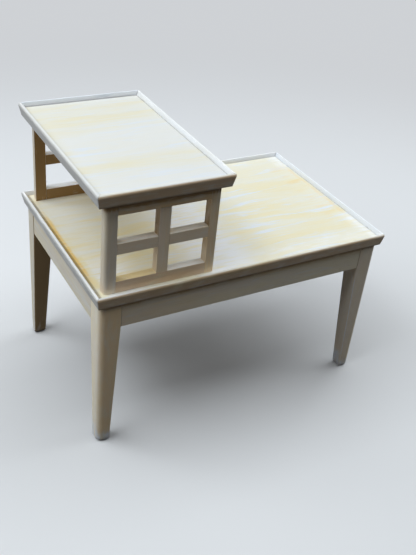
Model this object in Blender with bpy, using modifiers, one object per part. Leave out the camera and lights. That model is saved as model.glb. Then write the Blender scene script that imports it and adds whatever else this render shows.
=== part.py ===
"""Step end table in limed blonde wood.

A low tray top stands on four tapered legs, and a smaller step tray is carried over its left end by
two window-lattice supports. Metres, +Z up. The origin is on the floor under the middle of the low
top, X runs along the top, the front faces -Y and the step is at the -X end.
"""
import math

import bmesh
import bpy
from mathutils import Matrix, Vector

# Overall sizes
TOP_LENGTH = 0.690
TOP_DEPTH = 0.452
TOP_HEIGHT = 0.382
STEP_LENGTH = 0.279
STEP_DEPTH = 0.440
STEP_RISE = 0.213

# Fit between pieces that touch
CLEARANCE = 0.0003

# Trays: a flat panel with a tongue all round, held in the groove of a mitred rim
PANEL_THICKNESS = 0.019
RIM_LIP = 0.009
RIM_UNDERCUT = 0.0055
RIM_FOOT_WIDTH = 0.0045
RIM_BAND = 0.006
RIM_BAND_ROUND = 0.015
RIM_INNER_SLOPE = 0.0045
RIM_OUTER_ROUND = 0.003
RIM_INNER_ROUND = 0.0015
RIM_FOOT_ROUND = 0.0015
TRAY_CORNER_ROUND = 0.0035
TONGUE_LENGTH = 0.0025
TONGUE_THICKNESS = 0.005
TONGUE_DROP = 0.005

# Legs: square down to the apron's lower edge, then tapered on the two inner faces
LEG_SIZE = 0.0455
FOOT_SIZE = 0.028
LEG_INSET = 0.0095
LEG_CORNER_ROUND = 0.010
LEG_EDGE_ROUND = 0.0025
FOOT_EDGE_ROUND = 0.003

# Aprons, tenoned into the legs
APRON_HEIGHT = 0.0555
APRON_THICKNESS = 0.019
APRON_SETBACK = 0.001
APRON_EDGE_ROUND = 0.0015
APRON_TENON_LENGTH = 0.020
APRON_TENON_THICKNESS = 0.008
APRON_TENON_SHOULDER = 0.008

# Lattice supports under the step
STEP_END_OVERHANG = 0.022
STEP_SIDE_OVERHANG = 0.016
LATTICE_RIM_GAP = 0.010
LATTICE_THICKNESS = 0.019
OUTER_STILE_WIDTH = 0.0245
INNER_STILE_WIDTH = 0.0195
MULLION_WIDTH = 0.024
CROSS_BAR_WIDTH = 0.024
TOP_RAIL_WIDTH = 0.0255
BOTTOM_RAIL_WIDTH = 0.0255
STILE_CORNER_ROUND = 0.008
BAR_EDGE_ROUND = 0.0008
BAR_TENON_LENGTH = 0.008
BAR_TENON_THICKNESS = 0.007
BAR_TENON_SHOULDER = 0.004

# Dowels between the lattices and the two panels
DOWEL_RADIUS = 0.004
DOWEL_IN_RAIL = 0.015
DOWEL_IN_PANEL = 0.011

# Diagonal corner braces behind the legs
BRACE_THICKNESS = 0.019
BRACE_HEIGHT = 0.045
BRACE_DROP = 0.006
BRACE_LEG_GAP = 0.0015

# Cleats that hold the low top to the long aprons
CLEAT_SIZE = 0.019
CLEAT_END_GAP = 0.075
CLEAT_SCREW_END = 0.035

# Wood screws
SCREW_SHANK_RADIUS = 0.002
SCREW_HEAD_RADIUS = 0.004
SCREW_HEAD_HEIGHT = 0.0025
SCREW_TIP = 0.005
BRACE_SCREW_IN_LEG = 0.020
CLEAT_SCREW_IN_PANEL = 0.010

# Glides nailed under the feet
GLIDE_RADIUS = 0.009
GLIDE_HEIGHT = 0.0025
GLIDE_CHAMFER = 0.0015
GLIDE_RIM_ROUND = 0.0008
NAIL_RADIUS = 0.0015
NAIL_LENGTH = 0.014
NAIL_TIP = 0.003

# Fineness of round shapes
ARC_STEPS = 3
MITRE_STEPS = 2
ROUND_EDGE_SEGMENTS = 4
SMALL_EDGE_SEGMENTS = 2
TURNED_STEPS = 16
MERGE_DISTANCE = 0.00001
SMOOTH_ANGLE = math.radians(40)
CURVE_REACH_LIMIT = 0.45
ALONG_AXIS = math.cos(math.radians(25))

# Heights and half sizes that follow from the values above
RIM_HEIGHT = PANEL_THICKNESS + RIM_LIP
RIM_BASE = RIM_UNDERCUT + RIM_FOOT_WIDTH
STEP_HEIGHT = TOP_HEIGHT + STEP_RISE
TOP_UNDERSIDE = TOP_HEIGHT - RIM_HEIGHT
STEP_UNDERSIDE = STEP_HEIGHT - RIM_HEIGHT
TOP_FACE = TOP_HEIGHT - RIM_LIP
FRAME_TOP = TOP_UNDERSIDE - CLEARANCE
APRON_BOTTOM = FRAME_TOP - APRON_HEIGHT
APRON_INNER = APRON_SETBACK + APRON_THICKNESS
STEP_CENTRE_X = (STEP_LENGTH - TOP_LENGTH) / 2
LEG_FACE_X = TOP_LENGTH / 2 - LEG_INSET
LEG_FACE_Y = TOP_DEPTH / 2 - LEG_INSET

# The four corners of the frame: side of X, side of Y and turn about Z
CORNERS = {
    "front_left": (-1, -1, 0),
    "front_right": (1, -1, 90),
    "back_right": (1, 1, 180),
    "back_left": (-1, 1, 270),
}

# The four sides of a tray and their turn about Z
SIDES = {"front": 0, "right": 90, "back": 180, "left": 270}


def start_scene():
    """Empty the scene and return the collections for the parts and for the cutters."""
    for obj in list(bpy.data.objects):
        bpy.data.objects.remove(obj, do_unlink=True)
    parts = bpy.data.collections.new("step_end_table")
    cutters = bpy.data.collections.new("cutters")
    bpy.context.scene.collection.children.link(parts)
    bpy.context.scene.collection.children.link(cutters)
    return parts, cutters


def make_material(name, colour, roughness, metallic=0.0):
    """Return a Principled material."""
    material = bpy.data.materials.new(name)
    material.use_nodes = True
    shader = material.node_tree.nodes["Principled BSDF"]
    shader.inputs["Base Color"].default_value = (*colour, 1.0)
    shader.inputs["Roughness"].default_value = roughness
    shader.inputs["Metallic"].default_value = metallic
    return material


PARTS, CUTTERS = start_scene()
PANEL_WOOD = make_material("limed_panel_wood", (0.76, 0.71, 0.58), 0.38)
RIM_WOOD = make_material("limed_rim_wood", (0.80, 0.77, 0.69), 0.40)
FRAME_WOOD = make_material("limed_frame_wood", (0.62, 0.55, 0.42), 0.45)
LATTICE_WOOD = make_material("limed_lattice_wood", (0.64, 0.56, 0.42), 0.45)
INNER_WOOD = make_material("bare_inner_wood", (0.52, 0.38, 0.22), 0.65)
SCREW_STEEL = make_material("screw_steel", (0.42, 0.41, 0.39), 0.40, 1.0)
GLIDE_STEEL = make_material("glide_steel", (0.10, 0.09, 0.08), 0.45, 0.8)


def add_part(name, mesh, material, parent=None):
    """Link a named sub-part with its own material."""
    obj = bpy.data.objects.new(name, mesh)
    obj.data.materials.append(material)
    obj.parent = parent
    PARTS.objects.link(obj)
    return obj


def add_cutter(name, mesh, parent=None):
    """Link a hidden shape that is only joined to or cut from the parts."""
    obj = bpy.data.objects.new(name, mesh)
    obj.hide_render = True
    obj.display_type = "WIRE"
    obj.parent = parent
    CUTTERS.objects.link(obj)
    return obj


def combine(obj, other, operation):
    """Join other to obj, or cut it away, with a Boolean modifier."""
    modifier = obj.modifiers.new(operation.lower() + "_" + other.name, "BOOLEAN")
    modifier.operation = operation
    modifier.solver = "EXACT"
    modifier.object = other


def shade_smooth(mesh):
    """Shade a round mesh smooth and keep its sharp edges."""
    mesh.shade_smooth()
    mesh.set_sharp_from_angle(angle=SMOOTH_ANGLE)


def boxes_mesh(name, boxes):
    """Return one mesh holding a box for each (low corner, high corner) pair."""
    bm = bmesh.new()
    for low, high in boxes:
        low = Vector(low)
        high = Vector(high)
        placing = Matrix.Translation((low + high) / 2) @ Matrix.Diagonal((high - low).to_4d())
        bmesh.ops.create_cube(bm, size=1.0, matrix=placing)
    mesh = bpy.data.meshes.new(name)
    bm.to_mesh(mesh)
    bm.free()
    return mesh


def round_edges(obj, edge_radius, segments):
    """Bevel obj: edge_radius(middle, direction) gives the radius of each edge."""
    bm = bmesh.new()
    bm.from_mesh(obj.data)
    weights = bm.edges.layers.float.new("bevel_weight_edge")
    radii = []
    for edge in bm.edges:
        start, end = (vert.co for vert in edge.verts)
        radii.append(edge_radius((start + end) / 2, (end - start).normalized()))
    widest = max(radii)
    for edge, radius in zip(bm.edges, radii):
        edge[weights] = radius / widest
    bm.to_mesh(obj.data)
    bm.free()
    modifier = obj.modifiers.new("rounded_edges", "BEVEL")
    modifier.limit_method = "WEIGHT"
    modifier.width = widest
    modifier.segments = segments
    shade_smooth(obj.data)


def long_edges(axis, radius):
    """Return a radius rule that rounds only the edges along one axis."""
    def rule(middle, direction):
        return radius if abs(direction[axis]) > ALONG_AXIS else 0.0
    return rule


def rounded_outline(corners):
    """Return the outline's points, with each (x, y, radius) corner turned into an arc."""
    points = []
    for index, (x, y, radius) in enumerate(corners):
        here = Vector((x, y))
        if radius == 0:
            points.append(here)
            continue
        before = Vector(corners[index - 1][:2]) - here
        after = Vector(corners[(index + 1) % len(corners)][:2]) - here
        half_angle = before.angle(after) / 2
        longest = CURVE_REACH_LIMIT * min(before.length, after.length)
        reach = min(radius / math.tan(half_angle), longest)
        radius = reach * math.tan(half_angle)
        towards = (before.normalized() + after.normalized()).normalized()
        centre = here + towards * radius / math.sin(half_angle)
        first = here + before.normalized() * reach - centre
        last = here + after.normalized() * reach - centre
        start = math.atan2(first.y, first.x)
        sweep = math.atan2(last.y, last.x) - start
        sweep = (sweep + math.pi) % (2 * math.pi) - math.pi
        for step in range(ARC_STEPS + 1):
            angle = start + sweep * step / ARC_STEPS
            points.append(centre + radius * Vector((math.cos(angle), math.sin(angle))))
    return points


def rim_outline():
    """Return the rim's section as (distance in from the outer edge, height from the rim's top)."""
    groove_top = -RIM_LIP - TONGUE_DROP + CLEARANCE
    groove_bottom = groove_top - TONGUE_THICKNESS - 2 * CLEARANCE
    groove_end = RIM_BASE - TONGUE_LENGTH - CLEARANCE
    return rounded_outline([
        (RIM_UNDERCUT, -RIM_HEIGHT, RIM_FOOT_ROUND),
        (RIM_BASE, -RIM_HEIGHT, 0),
        (RIM_BASE, groove_bottom, 0),
        (groove_end, groove_bottom, 0),
        (groove_end, groove_top, 0),
        (RIM_BASE, groove_top, 0),
        (RIM_BASE, -RIM_LIP, 0),
        (RIM_BASE - RIM_INNER_SLOPE, 0, RIM_INNER_ROUND),
        (0, 0, RIM_OUTER_ROUND),
        (0, -RIM_BAND, RIM_BAND_ROUND),
    ])


def rim_end_point(inset, step, run):
    """Return (x, inset) of a section point at one step of the rounded, mitred end of a rim.

    Step 0 is where the straight run stops, and the last step is the mitre. Points nearer the
    outer edge than the corner's radius turn round the corner, and the rest meet the mitre square.
    """
    share = step / MITRE_STEPS
    end = run / 2 - CLEARANCE / math.sqrt(2)
    reach = TRAY_CORNER_ROUND - inset
    if reach <= 0:
        return end - inset - (1 - share) * TRAY_CORNER_ROUND / 2, inset
    angle = share * math.pi / 4
    along = end - TRAY_CORNER_ROUND + reach * math.sin(angle)
    return along, TRAY_CORNER_ROUND - reach * math.cos(angle)


def rim_mesh(name, run, half):
    """Loft one rim moulding along X, its outer edge at y = -half and its top at z = 0."""
    outline = rim_outline()
    bm = bmesh.new()
    stations = [(-1, step) for step in range(MITRE_STEPS, -1, -1)]
    stations += [(1, step) for step in range(MITRE_STEPS + 1)]
    rings = []
    for side, step in stations:
        ring = []
        for point in outline:
            along, inset = rim_end_point(point.x, step, run)
            ring.append(bm.verts.new((side * along, inset - half, point.y)))
        rings.append(ring)
    count = len(outline)
    for ring, following in zip(rings, rings[1:]):
        for index in range(count):
            after = (index + 1) % count
            bm.faces.new((ring[index], ring[after], following[after], following[index]))
    bm.faces.new(rings[0])
    bm.faces.new(rings[-1])
    bmesh.ops.recalc_face_normals(bm, faces=bm.faces[:])
    mesh = bpy.data.meshes.new(name)
    bm.to_mesh(mesh)
    bm.free()
    shade_smooth(mesh)
    return mesh


def make_tray(name, length, depth, centre_x, rim_top):
    """Make a tray: a tongued panel and its four mitred rims. Return the panel."""
    face_x = length / 2 - RIM_BASE - CLEARANCE
    face_y = depth / 2 - RIM_BASE - CLEARANCE
    tongue_x = length / 2 - RIM_BASE + TONGUE_LENGTH
    tongue_y = depth / 2 - RIM_BASE + TONGUE_LENGTH
    face = rim_top - RIM_LIP
    underside = rim_top - RIM_HEIGHT
    tongue_top = face - TONGUE_DROP
    board = [((centre_x - face_x, -face_y, underside), (centre_x + face_x, face_y, face))]
    tongue = [((centre_x - tongue_x, -tongue_y, tongue_top - TONGUE_THICKNESS),
               (centre_x + tongue_x, tongue_y, tongue_top))]
    panel = add_part(name + "_panel", boxes_mesh(name + "_panel", board), PANEL_WOOD)
    combine(panel, add_cutter(name + "_tongue", boxes_mesh(name + "_tongue", tongue)), "UNION")
    for side, turn in SIDES.items():
        run, across = (length, depth) if side in ("front", "back") else (depth, length)
        rim_name = name + "_rim_" + side
        rim = add_part(rim_name, rim_mesh(rim_name, run, across / 2), RIM_WOOD)
        rim.location = (centre_x, 0, rim_top)
        rim.rotation_euler.z = math.radians(turn)
    return panel


def tenon_boxes(low, high, axis, length, thickness_axis, thickness, shoulder):
    """Return two tenons on a bar's ends, each reaching back into the bar by its own length."""
    width_axis = 3 - axis - thickness_axis
    tenons = []
    for end in (low[axis] - length, high[axis] - length):
        start = [0.0, 0.0, 0.0]
        stop = [0.0, 0.0, 0.0]
        start[axis] = end
        stop[axis] = end + 2 * length
        middle = (low[thickness_axis] + high[thickness_axis]) / 2
        start[thickness_axis] = middle - thickness / 2
        stop[thickness_axis] = middle + thickness / 2
        start[width_axis] = low[width_axis] + shoulder
        stop[width_axis] = high[width_axis] - shoulder
        tenons.append((start, stop))
    return tenons


def grown(boxes):
    """Return boxes enlarged by the clearance, to cut the mortises for them."""
    return [([value - CLEARANCE for value in low], [value + CLEARANCE for value in high])
            for low, high in boxes]


def turned_mesh(name, outline):
    """Return a line of (radius, height) points, from the top of the axis down to its foot."""
    mesh = bpy.data.meshes.new(name)
    points = [(radius, 0.0, height) for radius, height in outline]
    mesh.from_pydata(points, [(i, i + 1) for i in range(len(points) - 1)], [])
    return mesh


def turn_round(obj):
    """Turn obj's profile line about Z into a closed solid."""
    modifier = obj.modifiers.new("turned", "SCREW")
    modifier.axis = "Z"
    modifier.steps = TURNED_STEPS
    modifier.render_steps = TURNED_STEPS
    modifier.use_merge_vertices = True
    modifier.merge_threshold = MERGE_DISTANCE
    modifier.use_smooth_shade = True


def screw_outline(length, extra):
    """Return a countersunk screw's profile, head face at z = 0, tip up, enlarged by extra."""
    shank = SCREW_SHANK_RADIUS + extra
    head = SCREW_HEAD_RADIUS + extra
    return [
        (0, length + extra),
        (shank, length - SCREW_TIP + extra),
        (shank, SCREW_HEAD_HEIGHT + extra),
        (head, extra),
        (head, -extra),
        (0, -extra),
    ]


def pin_outline(radius, low, high):
    """Return a plain round pin's profile."""
    return [(0, high), (radius, high), (radius, low), (0, low)]


def glide_outline():
    """Return the profile of a glide with its nail, standing on the floor."""
    cap_top = GLIDE_HEIGHT - CLEARANCE
    return [
        (0, GLIDE_HEIGHT + NAIL_LENGTH),
        (NAIL_RADIUS, GLIDE_HEIGHT + NAIL_LENGTH - NAIL_TIP),
        (NAIL_RADIUS, cap_top),
        (GLIDE_RADIUS - GLIDE_RIM_ROUND, cap_top),
        (GLIDE_RADIUS, cap_top - GLIDE_RIM_ROUND),
        (GLIDE_RADIUS - GLIDE_CHAMFER, 0),
        (0, 0),
    ]


def make_fixing(name, outline, bore_outline, material, parent=None):
    """Make a turned fixing and the cutter for its bore. Return both."""
    fixing = add_part(name, turned_mesh(name, outline), material, parent)
    bore = add_cutter(name + "_bore", turned_mesh(name + "_bore", bore_outline), parent)
    turn_round(fixing)
    turn_round(bore)
    return fixing, bore


def make_aprons():
    """Make the four aprons. Return the mortise cutter of each."""
    inner_x = LEG_FACE_X - LEG_SIZE - CLEARANCE
    inner_y = LEG_FACE_Y - LEG_SIZE - CLEARANCE
    far_x = LEG_FACE_X - APRON_SETBACK
    far_y = LEG_FACE_Y - APRON_SETBACK
    near_x = far_x - APRON_THICKNESS
    near_y = far_y - APRON_THICKNESS
    bodies = {
        "front": ((-inner_x, -far_y), (inner_x, -near_y), 0),
        "back": ((-inner_x, near_y), (inner_x, far_y), 0),
        "left": ((-far_x, -inner_y), (-near_x, inner_y), 1),
        "right": ((near_x, -inner_y), (far_x, inner_y), 1),
    }
    mortises = {}
    for side, (low_plan, high_plan, axis) in bodies.items():
        name = "apron_" + side
        low = (*low_plan, APRON_BOTTOM)
        high = (*high_plan, FRAME_TOP)
        apron = add_part(name, boxes_mesh(name, [(low, high)]), FRAME_WOOD)
        round_edges(apron, long_edges(axis, APRON_EDGE_ROUND), SMALL_EDGE_SEGMENTS)
        tenons = tenon_boxes(low, high, axis, APRON_TENON_LENGTH - CLEARANCE, 1 - axis,
                             APRON_TENON_THICKNESS, APRON_TENON_SHOULDER)
        combine(apron, add_cutter(name + "_tenons", boxes_mesh(name + "_tenons", tenons)), "UNION")
        cuts = boxes_mesh(name + "_mortises", grown(tenons))
        mortises[side] = add_cutter(name + "_mortises", cuts)
    return mortises


def leg_mesh():
    """Return a leg with its outer corner on the Z axis, the leg lying towards +X and +Y."""
    mesh = boxes_mesh("leg", [((0, 0, GLIDE_HEIGHT), (LEG_SIZE, LEG_SIZE, FRAME_TOP))])
    bm = bmesh.new()
    bm.from_mesh(mesh)
    everything = bm.verts[:] + bm.edges[:] + bm.faces[:]
    bmesh.ops.bisect_plane(bm, geom=everything, plane_co=(0, 0, APRON_BOTTOM), plane_no=(0, 0, 1))
    for vert in bm.verts:
        if vert.co.z < APRON_BOTTOM - MERGE_DISTANCE:
            vert.co.x = min(vert.co.x, FOOT_SIZE)
            vert.co.y = min(vert.co.y, FOOT_SIZE)
    bm.to_mesh(mesh)
    bm.free()
    return mesh


def leg_edge_radius(middle, direction):
    """Return the rounding of a leg's edge: wide on the outer corner, soft on the others."""
    if abs(direction.z) > ALONG_AXIS:
        on_corner = max(middle.x, middle.y) < MERGE_DISTANCE
        return LEG_CORNER_ROUND if on_corner else LEG_EDGE_ROUND
    at_foot = middle.z < GLIDE_HEIGHT + MERGE_DISTANCE
    return FOOT_EDGE_ROUND if at_foot else 0.0


def extruded_mesh(name, points, thickness):
    """Return a flat outline as a solid mesh of the given thickness, centred on z = 0."""
    curve = bpy.data.curves.new(name, "CURVE")
    curve.dimensions = "2D"
    curve.fill_mode = "BOTH"
    curve.extrude = thickness / 2
    spline = curve.splines.new("POLY")
    spline.points.add(len(points) - 1)
    for place, (x, y) in zip(spline.points, points):
        place.co = (x, y, 0, 1)
    spline.use_cyclic_u = True
    guide = bpy.data.objects.new(name + "_outline", curve)
    bpy.context.scene.collection.objects.link(guide)
    graph = bpy.context.evaluated_depsgraph_get()
    mesh = bpy.data.meshes.new_from_object(guide.evaluated_get(graph))
    bpy.data.objects.remove(guide, do_unlink=True)
    bm = bmesh.new()
    bm.from_mesh(mesh)
    bmesh.ops.remove_doubles(bm, verts=bm.verts[:], dist=MERGE_DISTANCE)
    bmesh.ops.recalc_face_normals(bm, faces=bm.faces[:])
    bm.to_mesh(mesh)
    bm.free()
    mesh.name = name
    return mesh


def make_corner(name, side_x, side_y, turn, mortises):
    """Make one leg with its glide, its corner brace and the brace's screw."""
    corner = bpy.data.objects.new("corner_" + name, None)
    corner.location = (side_x * LEG_FACE_X, side_y * LEG_FACE_Y, 0)
    corner.rotation_euler.z = math.radians(turn)
    PARTS.objects.link(corner)

    leg = add_part("leg_" + name, leg_mesh(), FRAME_WOOD, corner)
    round_edges(leg, leg_edge_radius, ROUND_EDGE_SEGMENTS)
    for side in name.split("_"):
        combine(leg, mortises[side], "DIFFERENCE")

    nail_bore = pin_outline(NAIL_RADIUS + CLEARANCE, 0, GLIDE_HEIGHT + NAIL_LENGTH + CLEARANCE)
    glide, bore = make_fixing("glide_" + name, glide_outline(), nail_bore, GLIDE_STEEL, corner)
    for fixing in (glide, bore):
        fixing.location = (FOOT_SIZE / 2, FOOT_SIZE / 2, 0)
    combine(leg, bore, "DIFFERENCE")

    seat = APRON_INNER + CLEARANCE
    diagonal = math.sqrt(2)
    near = 2 * LEG_SIZE + BRACE_LEG_GAP * diagonal - seat
    far = near + BRACE_THICKNESS * diagonal
    outline = [(near, seat), (far, seat), (seat, far), (seat, near)]
    brace_mesh = extruded_mesh("corner_brace_" + name, outline, BRACE_HEIGHT)
    brace = add_part("corner_brace_" + name, brace_mesh, INNER_WOOD, corner)
    brace.location.z = FRAME_TOP - BRACE_DROP - BRACE_HEIGHT / 2

    length = BRACE_THICKNESS + BRACE_LEG_GAP + BRACE_SCREW_IN_LEG
    screw, bore = make_fixing("brace_screw_" + name, screw_outline(length, 0),
                              screw_outline(length, CLEARANCE), SCREW_STEEL, corner)
    head = (seat + far) / 2
    for fixing in (screw, bore):
        fixing.location = (head, head, brace.location.z)
        fixing.rotation_euler = (0, math.radians(-90), math.radians(45))
    combine(brace, bore, "DIFFERENCE")
    combine(leg, bore, "DIFFERENCE")


def make_cleats(lower_panel):
    """Make the cleats inside the long aprons, with their screws into the low top."""
    half_run = LEG_FACE_X - LEG_SIZE - CLEAT_END_GAP
    near = LEG_FACE_Y - APRON_INNER - CLEARANCE
    for side, sign in (("front", -1), ("back", 1)):
        name = "top_cleat_" + side
        across = sorted((sign * near, sign * (near - CLEAT_SIZE)))
        low = (-half_run, across[0], FRAME_TOP - CLEAT_SIZE)
        high = (half_run, across[1], FRAME_TOP)
        cleat = add_part(name, boxes_mesh(name, [(low, high)]), INNER_WOOD)
        length = CLEAT_SIZE + CLEARANCE + CLEAT_SCREW_IN_PANEL
        for end, direction in (("left", -1), ("right", 1)):
            screw, bore = make_fixing("cleat_screw_" + side + "_" + end, screw_outline(length, 0),
                                      screw_outline(length, CLEARANCE), SCREW_STEEL)
            for fixing in (screw, bore):
                fixing.location = (direction * (half_run - CLEAT_SCREW_END),
                                   sign * (near - CLEAT_SIZE / 2), FRAME_TOP - CLEAT_SIZE)
            combine(cleat, bore, "DIFFERENCE")
            combine(lower_panel, bore, "DIFFERENCE")


def make_bar(name, low, high, axis, tenoned):
    """Make one lattice bar along an axis. Return it with its mortise cutter, if it has tenons."""
    bar = add_part(name, boxes_mesh(name, [(low, high)]), LATTICE_WOOD)
    round_edges(bar, long_edges(axis, BAR_EDGE_ROUND), SMALL_EDGE_SEGMENTS)
    if not tenoned:
        return bar, None
    tenons = tenon_boxes(low, high, axis, BAR_TENON_LENGTH - CLEARANCE, 1,
                         BAR_TENON_THICKNESS, BAR_TENON_SHOULDER)
    combine(bar, add_cutter(name + "_tenons", boxes_mesh(name + "_tenons", tenons)), "UNION")
    return bar, add_cutter(name + "_mortises", boxes_mesh(name + "_mortises", grown(tenons)))


def make_outer_stile(name, low, high, sign):
    """Make the stile at the step's free end, with its outer corner well rounded."""
    def radius(middle, direction):
        if abs(direction.z) < ALONG_AXIS:
            return 0.0
        outer = middle.x < low[0] + MERGE_DISTANCE and middle.y * sign > centre_y * sign
        return STILE_CORNER_ROUND if outer else BAR_EDGE_ROUND
    centre_y = (low[1] + high[1]) / 2
    stile = add_part(name, boxes_mesh(name, [(low, high)]), LATTICE_WOOD)
    round_edges(stile, radius, ROUND_EDGE_SEGMENTS)
    return stile


def make_lattice(side, sign, lower_panel, step_panel):
    """Make one window lattice of seven tenoned bars, dowelled to both panels.

    It stands as far out as the step's overhang and the low top's rim both allow.
    """
    under_step = STEP_DEPTH / 2 - STEP_SIDE_OVERHANG
    inside_rim = TOP_DEPTH / 2 - RIM_BASE - LATTICE_RIM_GAP
    outer_face = min(under_step, inside_rim)
    low_y, high_y = sorted((sign * outer_face, sign * (outer_face - LATTICE_THICKNESS)))
    left = STEP_CENTRE_X - STEP_LENGTH / 2 + STEP_END_OVERHANG
    right = STEP_CENTRE_X + STEP_LENGTH / 2 - STEP_END_OVERHANG
    foot = TOP_FACE + CLEARANCE
    head = STEP_UNDERSIDE - CLEARANCE
    bay_left = left + OUTER_STILE_WIDTH
    bay_right = right - INNER_STILE_WIDTH
    bay_foot = foot + BOTTOM_RAIL_WIDTH
    bay_head = head - TOP_RAIL_WIDTH
    mullion_left = (bay_left + bay_right - MULLION_WIDTH) / 2
    mullion_right = mullion_left + MULLION_WIDTH
    cross_foot = (bay_foot + bay_head - CROSS_BAR_WIDTH) / 2
    cross_head = cross_foot + CROSS_BAR_WIDTH

    def span(x_low, z_low, x_high, z_high):
        return (x_low, low_y, z_low), (x_high, high_y, z_high)

    gap = CLEARANCE
    name = "lattice_" + side + "_"
    outer_stile = make_outer_stile(name + "outer_stile", *span(left, foot, bay_left, head), sign)
    inner_stile, _ = make_bar(name + "inner_stile", *span(bay_right, foot, right, head), 2, False)
    top_rail, top_cut = make_bar(
        name + "top_rail", *span(bay_left + gap, bay_head, bay_right - gap, head), 0, True)
    bottom_rail, bottom_cut = make_bar(
        name + "bottom_rail", *span(bay_left + gap, foot, bay_right - gap, bay_foot), 0, True)
    mullion, mullion_cut = make_bar(
        name + "mullion", *span(mullion_left, bay_foot + gap, mullion_right, bay_head - gap), 2, True)
    _, left_cut = make_bar(
        name + "cross_bar_left",
        *span(bay_left + gap, cross_foot, mullion_left - gap, cross_head), 0, True)
    _, right_cut = make_bar(
        name + "cross_bar_right",
        *span(mullion_right + gap, cross_foot, bay_right - gap, cross_head), 0, True)
    for cutter in (top_cut, bottom_cut, left_cut):
        combine(outer_stile, cutter, "DIFFERENCE")
    for cutter in (top_cut, bottom_cut, right_cut):
        combine(inner_stile, cutter, "DIFFERENCE")
    for cutter in (left_cut, right_cut):
        combine(mullion, cutter, "DIFFERENCE")
    for rail in (top_rail, bottom_rail):
        combine(rail, mullion_cut, "DIFFERENCE")

    middle_y = (low_y + high_y) / 2
    joints = {
        "foot": (foot - CLEARANCE - DOWEL_IN_PANEL, foot + DOWEL_IN_RAIL, bottom_rail, lower_panel),
        "head": (head - DOWEL_IN_RAIL, head + CLEARANCE + DOWEL_IN_PANEL, top_rail, step_panel),
    }
    places = {"left": (bay_left + mullion_left) / 2, "right": (mullion_right + bay_right) / 2}
    for level, (low, high, rail, panel) in joints.items():
        for end, x in places.items():
            pin = pin_outline(DOWEL_RADIUS, low, high)
            bore_pin = pin_outline(DOWEL_RADIUS + CLEARANCE, low - CLEARANCE, high + CLEARANCE)
            dowel, bore = make_fixing(name + "dowel_" + level + "_" + end, pin, bore_pin, INNER_WOOD)
            for fixing in (dowel, bore):
                fixing.location = (x, middle_y, 0)
            combine(rail, bore, "DIFFERENCE")
            combine(panel, bore, "DIFFERENCE")


def main():
    lower_panel = make_tray("lower", TOP_LENGTH, TOP_DEPTH, 0, TOP_HEIGHT)
    step_panel = make_tray("step", STEP_LENGTH, STEP_DEPTH, STEP_CENTRE_X, STEP_HEIGHT)
    mortises = make_aprons()
    for name, (side_x, side_y, turn) in CORNERS.items():
        make_corner(name, side_x, side_y, turn, mortises)
    make_cleats(lower_panel)
    for side, sign in (("front", -1), ("back", 1)):
        make_lattice(side, sign, lower_panel, step_panel)


main()
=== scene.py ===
"""Looks of the step end table: limed blonde wood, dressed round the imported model."""
import math

import bmesh
import bpy
from mathutils import Matrix, Vector, noise


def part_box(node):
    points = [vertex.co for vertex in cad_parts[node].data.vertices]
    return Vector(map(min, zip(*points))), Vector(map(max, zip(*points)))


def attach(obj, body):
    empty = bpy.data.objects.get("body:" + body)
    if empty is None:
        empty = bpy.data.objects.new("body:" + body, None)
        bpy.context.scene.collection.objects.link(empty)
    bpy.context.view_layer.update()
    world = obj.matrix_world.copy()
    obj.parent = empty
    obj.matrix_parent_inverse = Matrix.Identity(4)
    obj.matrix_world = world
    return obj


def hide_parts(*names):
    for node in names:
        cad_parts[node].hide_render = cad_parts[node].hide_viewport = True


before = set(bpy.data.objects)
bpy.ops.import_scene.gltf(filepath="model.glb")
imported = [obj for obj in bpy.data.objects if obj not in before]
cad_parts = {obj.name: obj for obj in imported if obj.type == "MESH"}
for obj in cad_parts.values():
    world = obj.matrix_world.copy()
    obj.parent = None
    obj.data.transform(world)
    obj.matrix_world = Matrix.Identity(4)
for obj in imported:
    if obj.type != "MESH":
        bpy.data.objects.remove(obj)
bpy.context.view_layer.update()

# Camera, from the photograph's perspective
CAMERA_PLACE = (-0.8036, -1.3185, 1.2419)
CAMERA_TURN = (56.078, -5.338, -28.813)
CAMERA_LENS = 51.004
CAMERA_SENSOR = 36.0

# Light: broad soft lamps, each as its place, aim, width, height, power and colour, and a faint fill
COOL = (0.95, 0.985, 1.0)
WARM = (1.0, 0.92, 0.80)
LAMPS = {
    "soft_top": ((1.6, 0.45, 5.0), (1.6, 0.45, 0.0), 11.0, 4.8, 298.0, COOL),
    "soft_left": ((-2.3, 0.6, 2.7), (0.0, 0.0, 0.4), 3.0, 2.4, 62.0, COOL),
    "soft_right": ((2.6, 0.2, 1.9), (0.0, 0.0, 0.4), 2.4, 2.0, 15.0, COOL),
}
FILL_STRENGTH = 0.056
FLOOR_SEEN = (0.74, 0.76, 0.79)
FLOOR_BOUNCE = (0.09, 0.09, 0.095)
FLOOR_ROUGHNESS = 0.9
BACKDROP = (0.62, 0.64, 0.665)
BLACK = (0.0, 0.0, 0.0)
FLOOR_FADE = (1.0, 2.6)
FLOOR_REACH = 30.0

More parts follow.
